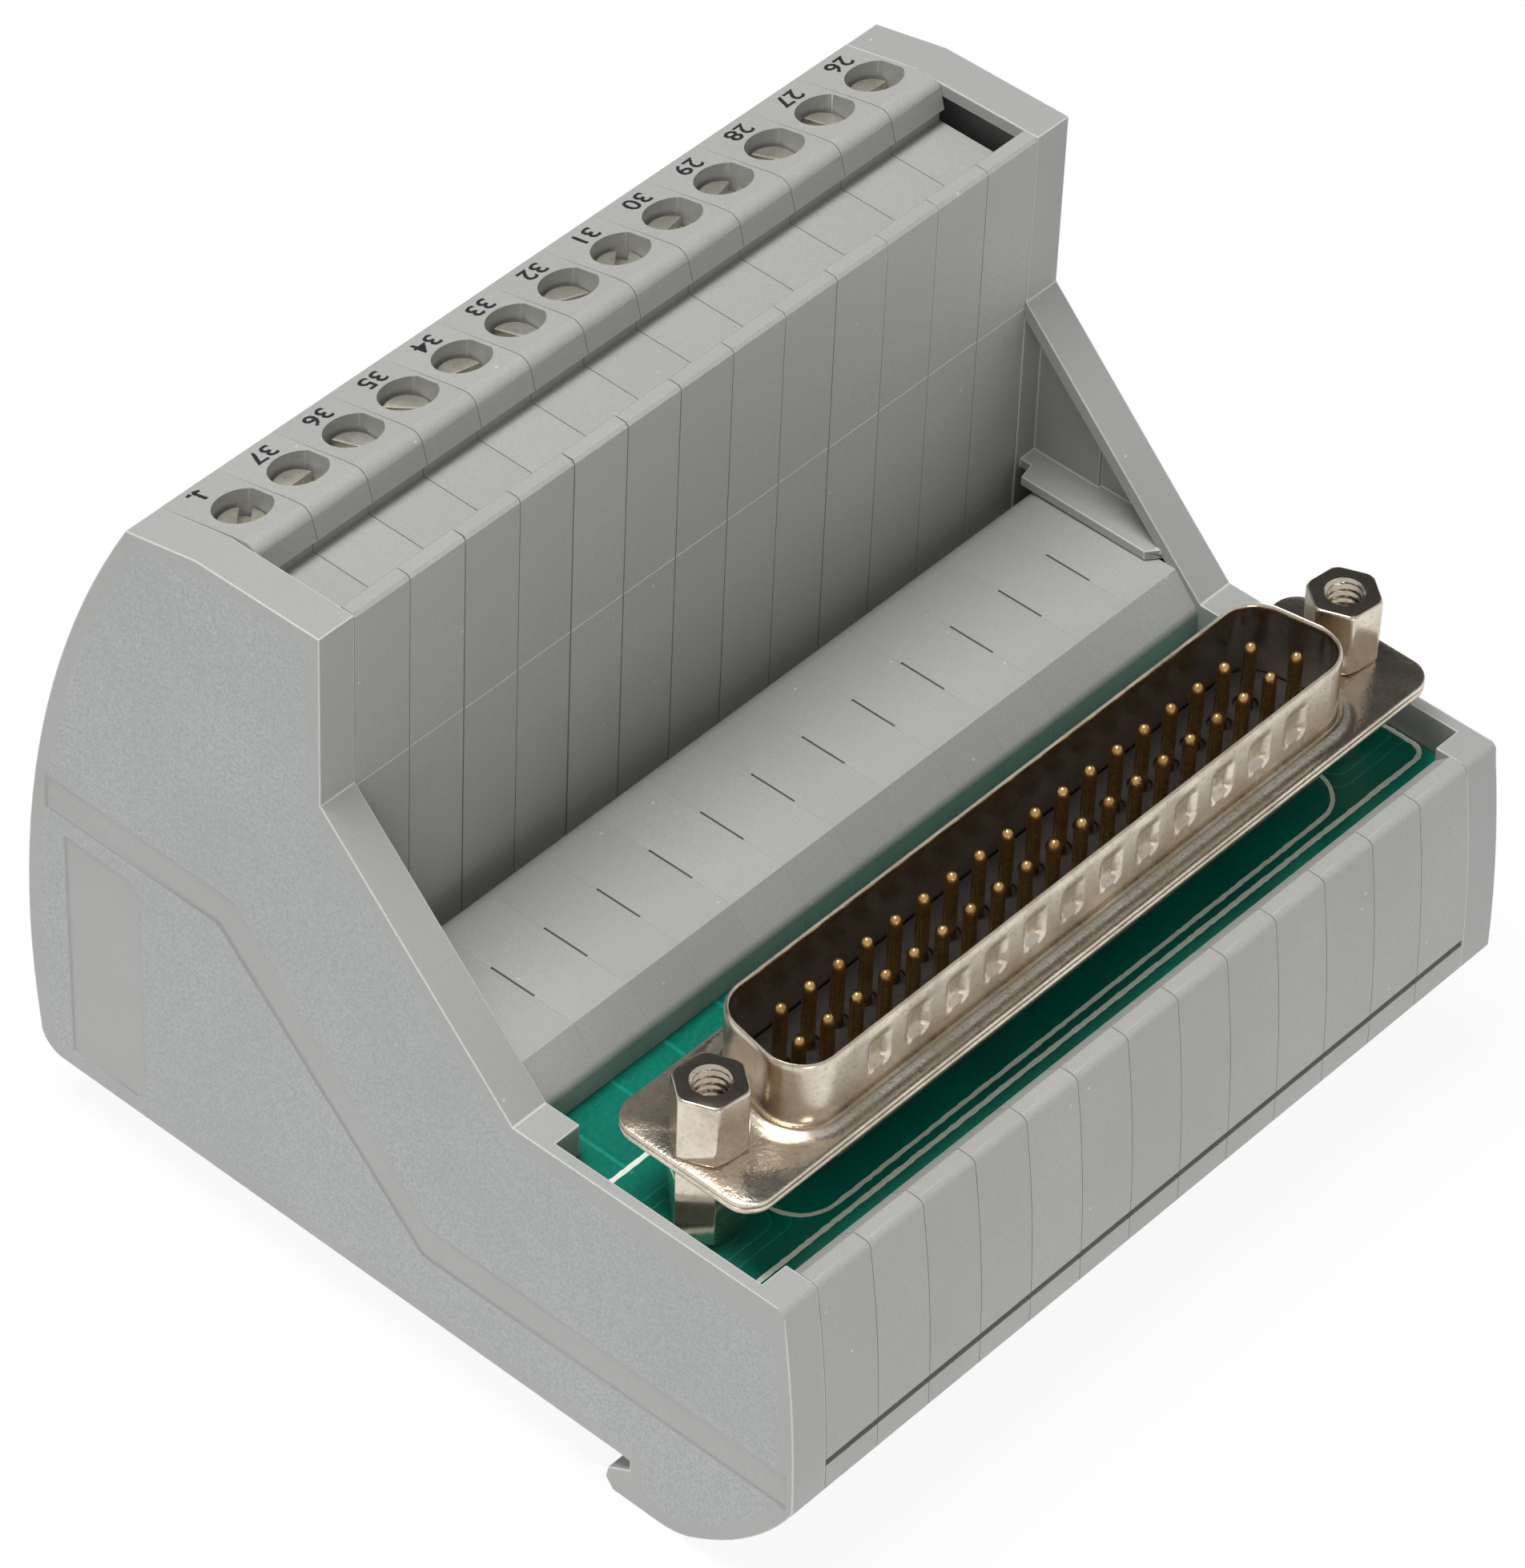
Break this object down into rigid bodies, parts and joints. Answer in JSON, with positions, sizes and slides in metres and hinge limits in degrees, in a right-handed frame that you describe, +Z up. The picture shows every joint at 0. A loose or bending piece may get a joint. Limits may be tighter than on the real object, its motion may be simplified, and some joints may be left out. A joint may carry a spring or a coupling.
{
  "type": "d-sub terminal block adapter",
  "caption": "Rail mounted interface module: a D-sub plug on a circuit board in a stepped housing of moulded slices, wired to rows of screw terminals.",
  "frame": {"origin": "middle of the object, on the plane that its feet stand on", "axes": "+X along the row of slices, +Y from the plug towards the wire entries, +Z up, away from the rail"},
  "size_m": [0.0724, 0.0704, 0.0601],
  "materials": {
    "housing_plastic": "moulded, fine spark-eroded",
    "board_laminate": "solder mask",
    "shell_tin": "tin plated",
    "insulator_black": "moulded",
    "pin_gold": "gold plated",
    "jack_nickel": "nickel plated",
    "screw_nickel": "nickel plated",
    "cage_steel": "zinc plated",
    "bar_tin": "tin plated"
  },
  "bodies": {
    "module": {"slice_housing_01": "housing_plastic", "slice_housing_02": "housing_plastic", "slice_housing_03": "housing_plastic", "slice_housing_04": "housing_plastic", "slice_housing_05": "housing_plastic", "slice_housing_06": "housing_plastic", "slice_housing_07": "housing_plastic", "slice_housing_08": "housing_plastic", "slice_housing_09": "housing_plastic", "slice_housing_10": "housing_plastic", "slice_housing_11": "housing_plastic", "slice_housing_12": "housing_plastic", "slice_housing_13": "housing_plastic", "end_cover_far": "housing_plastic", "end_cover_near": "housing_plastic", "circuit_board": "board_laminate", "plug_front_shell": "shell_tin", "plug_rear_shell": "shell_tin", "plug_insulator": "insulator_black", "plug_contact_pins": "pin_gold", "jack_screws": "jack_nickel", "board_standoffs": "jack_nickel", "middle_screws": "screw_nickel", "middle_cages": "cage_steel", "lower_screws": "screw_nickel", "lower_cages": "cage_steel", "top_current_bars": "bar_tin", "middle_current_bars": "bar_tin", "lower_current_bars": "bar_tin"},
    "clamp_screw_01": {"top_screw_01": "screw_nickel"},
    "clamp_cage_01": {"top_cage_01": "cage_steel"},
    "clamp_screw_02": {"top_screw_02": "screw_nickel"},
    "clamp_cage_02": {"top_cage_02": "cage_steel"},
    "clamp_screw_03": {"top_screw_03": "screw_nickel"},
    "clamp_cage_03": {"top_cage_03": "cage_steel"},
    "clamp_screw_04": {"top_screw_04": "screw_nickel"},
    "clamp_cage_04": {"top_cage_04": "cage_steel"},
    "clamp_screw_05": {"top_screw_05": "screw_nickel"},
    "clamp_cage_05": {"top_cage_05": "cage_steel"},
    "clamp_screw_06": {"top_screw_06": "screw_nickel"},
    "clamp_cage_06": {"top_cage_06": "cage_steel"},
    "clamp_screw_07": {"top_screw_07": "screw_nickel"},
    "clamp_cage_07": {"top_cage_07": "cage_steel"},
    "clamp_screw_08": {"top_screw_08": "screw_nickel"},
    "clamp_cage_08": {"top_cage_08": "cage_steel"},
    "clamp_screw_09": {"top_screw_09": "screw_nickel"},
    "clamp_cage_09": {"top_cage_09": "cage_steel"},
    "clamp_screw_10": {"top_screw_10": "screw_nickel"},
    "clamp_cage_10": {"top_cage_10": "cage_steel"},
    "clamp_screw_11": {"top_screw_11": "screw_nickel"},
    "clamp_cage_11": {"top_cage_11": "cage_steel"},
    "clamp_screw_12": {"top_screw_12": "screw_nickel"},
    "clamp_cage_12": {"top_cage_12": "cage_steel"},
    "clamp_screw_13": {"top_screw_13": "screw_nickel"},
    "clamp_cage_13": {"top_cage_13": "cage_steel"}
  },
  "joints": [
    {"name": "screw_01_turn", "type": "hinge", "parent": "module", "child": "clamp_screw_01", "pos_m": [-0.03013, 0.01973, 0.05795], "axis": [0, 0, -1], "range_deg": [0, 1728]},
    {"name": "cage_01_lift", "type": "slide", "parent": "module", "child": "clamp_cage_01", "axis": [0, 0, 1], "range_m": [0, 0.0024]},
    {"name": "screw_02_turn", "type": "hinge", "parent": "module", "child": "clamp_screw_02", "pos_m": [-0.02505, 0.01973, 0.05795], "axis": [0, 0, -1], "range_deg": [0, 1728]},
    {"name": "cage_02_lift", "type": "slide", "parent": "module", "child": "clamp_cage_02", "axis": [0, 0, 1], "range_m": [0, 0.0024]},
    {"name": "screw_03_turn", "type": "hinge", "parent": "module", "child": "clamp_screw_03", "pos_m": [-0.01997, 0.01973, 0.05795], "axis": [0, 0, -1], "range_deg": [0, 1728]},
    {"name": "cage_03_lift", "type": "slide", "parent": "module", "child": "clamp_cage_03", "axis": [0, 0, 1], "range_m": [0, 0.0024]},
    {"name": "screw_04_turn", "type": "hinge", "parent": "module", "child": "clamp_screw_04", "pos_m": [-0.01489, 0.01973, 0.05795], "axis": [0, 0, -1], "range_deg": [0, 1728]},
    {"name": "cage_04_lift", "type": "slide", "parent": "module", "child": "clamp_cage_04", "axis": [0, 0, 1], "range_m": [0, 0.0024]},
    {"name": "screw_05_turn", "type": "hinge", "parent": "module", "child": "clamp_screw_05", "pos_m": [-0.00981, 0.01973, 0.05795], "axis": [0, 0, -1], "range_deg": [0, 1728]},
    {"name": "cage_05_lift", "type": "slide", "parent": "module", "child": "clamp_cage_05", "axis": [0, 0, 1], "range_m": [0, 0.0024]},
    {"name": "screw_06_turn", "type": "hinge", "parent": "module", "child": "clamp_screw_06", "pos_m": [-0.00473, 0.01973, 0.05795], "axis": [0, 0, -1], "range_deg": [0, 1728]},
    {"name": "cage_06_lift", "type": "slide", "parent": "module", "child": "clamp_cage_06", "axis": [0, 0, 1], "range_m": [0, 0.0024]},
    {"name": "screw_07_turn", "type": "hinge", "parent": "module", "child": "clamp_screw_07", "pos_m": [0.00035, 0.01973, 0.05795], "axis": [0, 0, -1], "range_deg": [0, 1728]},
    {"name": "cage_07_lift", "type": "slide", "parent": "module", "child": "clamp_cage_07", "axis": [0, 0, 1], "range_m": [0, 0.0024]},
    {"name": "screw_08_turn", "type": "hinge", "parent": "module", "child": "clamp_screw_08", "pos_m": [0.00543, 0.01973, 0.05795], "axis": [0, 0, -1], "range_deg": [0, 1728]},
    {"name": "cage_08_lift", "type": "slide", "parent": "module", "child": "clamp_cage_08", "axis": [0, 0, 1], "range_m": [0, 0.0024]},
    {"name": "screw_09_turn", "type": "hinge", "parent": "module", "child": "clamp_screw_09", "pos_m": [0.01051, 0.01973, 0.05795], "axis": [0, 0, -1], "range_deg": [0, 1728]},
    {"name": "cage_09_lift", "type": "slide", "parent": "module", "child": "clamp_cage_09", "axis": [0, 0, 1], "range_m": [0, 0.0024]},
    {"name": "screw_10_turn", "type": "hinge", "parent": "module", "child": "clamp_screw_10", "pos_m": [0.01559, 0.01973, 0.05795], "axis": [0, 0, -1], "range_deg": [0, 1728]},
    {"name": "cage_10_lift", "type": "slide", "parent": "module", "child": "clamp_cage_10", "axis": [0, 0, 1], "range_m": [0, 0.0024]},
    {"name": "screw_11_turn", "type": "hinge", "parent": "module", "child": "clamp_screw_11", "pos_m": [0.02067, 0.01973, 0.05795], "axis": [0, 0, -1], "range_deg": [0, 1728]},
    {"name": "cage_11_lift", "type": "slide", "parent": "module", "child": "clamp_cage_11", "axis": [0, 0, 1], "range_m": [0, 0.0024]},
    {"name": "screw_12_turn", "type": "hinge", "parent": "module", "child": "clamp_screw_12", "pos_m": [0.02575, 0.01973, 0.05795], "axis": [0, 0, -1], "range_deg": [0, 1728]},
    {"name": "cage_12_lift", "type": "slide", "parent": "module", "child": "clamp_cage_12", "axis": [0, 0, 1], "range_m": [0, 0.0024]},
    {"name": "screw_13_turn", "type": "hinge", "parent": "module", "child": "clamp_screw_13", "pos_m": [0.03083, 0.01973, 0.05795], "axis": [0, 0, -1], "range_deg": [0, 1728]},
    {"name": "cage_13_lift", "type": "slide", "parent": "module", "child": "clamp_cage_13", "axis": [0, 0, 1], "range_m": [0, 0.0024]}
  ],
  "couplings": [
    {"joint": "screw_01_turn", "follows": "cage_01_lift", "rad_per_m": 12566},
    {"joint": "screw_02_turn", "follows": "cage_02_lift", "rad_per_m": 12566},
    {"joint": "screw_03_turn", "follows": "cage_03_lift", "rad_per_m": 12566},
    {"joint": "screw_04_turn", "follows": "cage_04_lift", "rad_per_m": 12566},
    {"joint": "screw_05_turn", "follows": "cage_05_lift", "rad_per_m": 12566},
    {"joint": "screw_06_turn", "follows": "cage_06_lift", "rad_per_m": 12566},
    {"joint": "screw_07_turn", "follows": "cage_07_lift", "rad_per_m": 12566},
    {"joint": "screw_08_turn", "follows": "cage_08_lift", "rad_per_m": 12566},
    {"joint": "screw_09_turn", "follows": "cage_09_lift", "rad_per_m": 12566},
    {"joint": "screw_10_turn", "follows": "cage_10_lift", "rad_per_m": 12566},
    {"joint": "screw_11_turn", "follows": "cage_11_lift", "rad_per_m": 12566},
    {"joint": "screw_12_turn", "follows": "cage_12_lift", "rad_per_m": 12566},
    {"joint": "screw_13_turn", "follows": "cage_13_lift", "rad_per_m": 12566}
  ]
}
